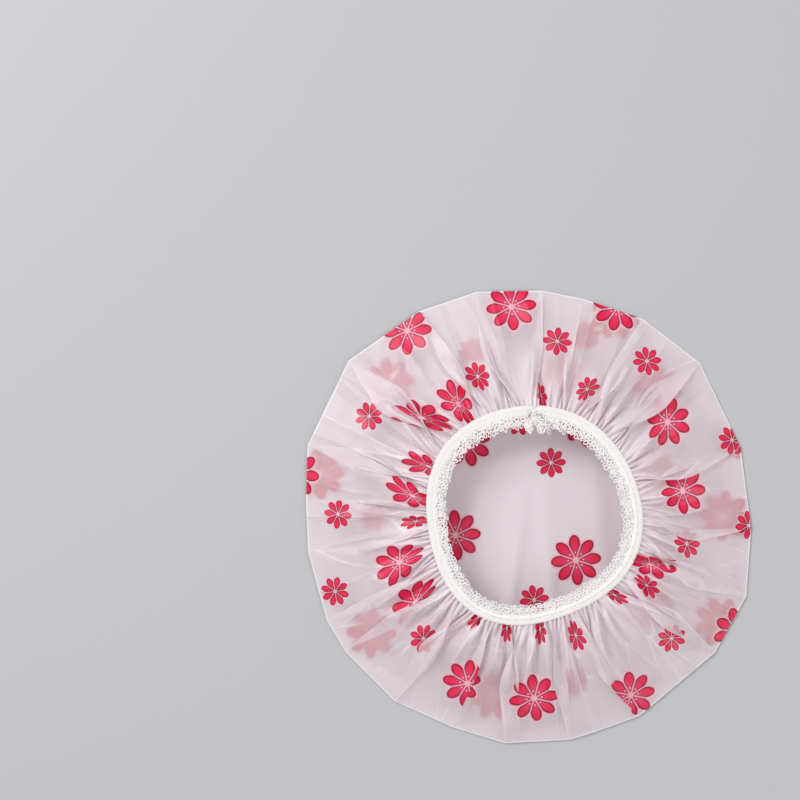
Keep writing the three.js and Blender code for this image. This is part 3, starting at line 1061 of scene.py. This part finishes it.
def stitches(side):
    """A seam along the band's back edge, on its top for side 1 and underneath for side -1."""
    along = np.arange(TAILS[-1] + TURN_REACH + SEAM_MARGIN,
                      run[-1] - TAILS[1] - TURN_REACH - SEAM_MARGIN, STITCH_STEP)
    turn = math.pi * along / STITCH
    dip = 0.42 * np.abs(np.sin(turn)) ** 0.45 - 0.34
    outward = -SEAM_INSIDE + 0.12 * np.sign(np.sin(turn))
    return on_trim(along, outward, side * (BAND_HEIGHT / 2 + dip))


def tack_line():
    """A thread that goes to and fro over the two ends, just below their turn."""
    top = opening_point(math.pi / 2)[1] - TURN_REACH
    height = RING_HEIGHT + LAPS[1] + BAND_HEIGHT / 2 + 0.1
    bars = np.arange(TACK_BARS)
    share = np.linspace(0, TACK_BARS - 1, TACK_POINTS)
    x = np.interp(share, bars, JOIN_X + TACK_HALF * (-1.0) ** bars)
    y = np.interp(share, bars, top - 1.6 - TACK_STEP * bars)
    drop = 0.9 * np.abs(x - JOIN_X) / TACK_HALF
    return np.stack([x, y, height - drop], 1)


# The second colour of each knit finish is painted shade in the hollows.
thread_finish = knit_finish("sewing_thread", (250, 250, 250), (228, 226, 226), 5000.0, 0.00003)
rubber_finish = knit_finish("rubber_thread", (230, 218, 190), (205, 190, 160), 3000.0, 0.00002)
for node, side in (("rubber_thread_upper", 1), ("rubber_thread_lower", -1)):
    line = on_trim(run, 0 * run - RUBBER_INSIDE, 0 * run + side * RUBBER_UP)
    dressed(thread(node + "_core", line, RUBBER_REACH), node, rubber_finish)
for node, side in (("needle_thread", 1), ("bobbin_thread", -1)):
    dressed(thread(node + "_stitches", stitches(side), THREAD_REACH), node,
            thread_finish)
dressed(thread("end_tack", tack_line(), THREAD_REACH), "joining_tack", thread_finish)

# %% [markdown]
# ## The lace
# The lace has a close header, sewn on over the band's edge, and rows of little rings of thick
# thread, the last of them loose as picots along the free edge. One ring is modelled from a
# torus, and each of its copies is drawn a little out of shape.

# %% The lace
HEADER_OUTLINE = [
    # across, from the band's inner edge, and up
    (-1.25, 1.36), (-0.6, 1.38), (0.0, 1.24), (0.6, 1.06), (1.2, 0.88), (1.6, 0.55),
    (1.5, 0.15), (0.8, 0.2), (0.1, 0.3),
]
RING_ROWS = [
    # across, pitch, half length, half width, thickness of the thread, looseness
    (1.4, 2.4, 1.14, 0.92, 0.56, 0.26),
    (3.1, 2.7, 1.22, 1.08, 0.55, 0.38),
    (4.8, 2.7, 1.22, 1.08, 0.52, 0.42),
    (6.4, 3.0, 1.12, 1.18, 0.42, 0.38),
]
HEADER_MARGIN = 3.0
ROWS_BEGIN = 1.4
ROW_SHIFT = 0.6
RING_STEPS = 14
RING_SIDES = 6
RING_LIFT = 0.35


def lace_place(along, across, up):
    """Lays lace beside the band. On the turned-in ends it is drawn together into a lump."""
    left = smooth((along - TAILS[-1] - TURN_REACH + 3.5) / 8.5)
    to_turn = run[-1] - along - TAILS[1] - TURN_REACH
    right = smooth((to_turn + 1.5) / 11.0)
    sway = 0.4 * np.sin(along / 8.3 + 1) + 0.3 * np.sin(along / 3.7)
    nearness = 0.5 + 0.5 * np.cos(math.tau * along / run[-1])
    wider = 0.96 + 0.26 * nearness ** 2 + 0.05 * sway
    open_out = -BAND_VISIBLE_WIDTH / 2 - across * wider
    left_out = 3.4 - 1.05 * across
    on_tail = smooth((1.0 - to_turn) / 4.5)
    right_out = (-1.4 - 0.5 * across) * (1 - on_tail) + (2.8 - across) * on_tail
    outward = open_out + (left_out - open_out) * (1 - left) + (right_out - open_out) * (1 - right)
    heap = 0.5 * np.sin(along * 1.3) + 0.5 * np.sin(along * 0.7 + 1.4 * across)
    droop = 0.5 * np.maximum(along - run[-1] + 1.0, 0.0) ** 1.5
    ruffle = 0.55 * np.sin(along / 4.9) + 0.4 * np.sin(along / 2.1 + 2)
    lift = up + ruffle * (np.maximum(across, 0) / 8.0) ** 1.5 - 0.03 * across - droop
    lift = lift + (1 - left) * (0.9 + 0.5 * heap - 0.06 * (across - 2.5) ** 2)
    lift = lift + (1 - right) * ((0.5 + 1.1 * on_tail + 0.8 * heap)
                                 - 0.05 * (across - 3.0) ** 2)
    return on_trim(along, outward, lift)


def lace_header():
    outline = np.array(HEADER_OUTLINE)
    along = np.arange(TAILS[-1] + HEADER_MARGIN, run[-1] - TAILS[1] - HEADER_MARGIN, BAND_STEP)
    wave = 0.05 * np.sin(math.tau * along / 1.9) + 0.05 * np.sin(math.tau * along / 1.3)
    across = outline[None, :, 0] + 2 * wave[:, None] * (outline[:, 0] > 1)
    up = outline[None, :, 1] + wave[:, None]
    return sweep(lace_place(along[:, None], across, up))


def ring_shape():
    """The points and faces of one small ring of thread, of unit reach."""
    bpy.ops.mesh.primitive_torus_add(major_segments=RING_STEPS, minor_segments=RING_SIDES,
                                     major_radius=1.0, minor_radius=1.0)
    ring = bpy.context.object
    turn = np.repeat(math.tau * np.arange(RING_STEPS) / RING_STEPS, RING_SIDES)
    points = np.array([v.co for v in ring.data.vertices])
    spine = np.stack([np.cos(turn), np.sin(turn), 0 * turn], 1)
    faces = np.array([p.vertices for p in ring.data.polygons])
    bpy.data.objects.remove(ring)
    return turn, spine, points - spine, faces


def lace_rings():
    turn, spine, round_it, faces = ring_shape()
    random = np.random.default_rng(SEED + 30)
    points, all_faces, count = [], [], 0
    for row, (across, pitch, long, wide, thick, loose) in enumerate(RING_ROWS):
        begin = ROWS_BEGIN + ROW_SHIFT * row
        number = int((run[-1] - begin + 1.6) / pitch)
        for place in range(number):
            along = begin + pitch * (place + 0.5 * (row % 2)) + random.normal(0, loose)
            middle = across + random.normal(0, loose)
            size = random.uniform(0.84, 1.16)
            turned = random.uniform(-0.8, 0.8)
            tilt_u, tilt_v = random.normal(0, 0.24, 2)
            starts = random.uniform(0, math.tau, 3)
            bent = 1 + 0.14 * np.sin(2 * turn + starts[0]) + 0.1 * np.sin(3 * turn + starts[1])
            strand = thick * (1 + 0.18 * np.sin(3 * turn + starts[2]))
            body = (spine * [long * size, wide * size, 1.0] * bent[:, None]
                    + round_it * strand[:, None])
            u = body[:, 0] * math.cos(turned) - body[:, 1] * math.sin(turned)
            v = body[:, 0] * math.sin(turned) + body[:, 1] * math.cos(turned)
            w = body[:, 2] + tilt_u * u + tilt_v * v + 0.22 * np.sin(2 * turn + starts[2])
            points.append(lace_place(along + u, middle + v, w + RING_LIFT + random.normal(0, 0.12)))
            all_faces.append(faces + count)
            count += len(body)
    return np.concatenate(points), np.concatenate(all_faces)


def make_lace():
    header, header_faces = lace_header()
    rings, ring_faces = lace_rings()
    faces = header_faces + (ring_faces + len(header)).tolist()
    return add_mesh("lace_rings", np.concatenate([header, rings]), faces)


# The second colour is painted shade in the hollows.
lace_finish = knit_finish("lace_yarn", (248, 245, 244), (230, 226, 226), 2600.0, 0.00005)
lace = dressed(make_lace(), "lace_edging", lace_finish)
print("lace faces:", len(lace.data.polygons))
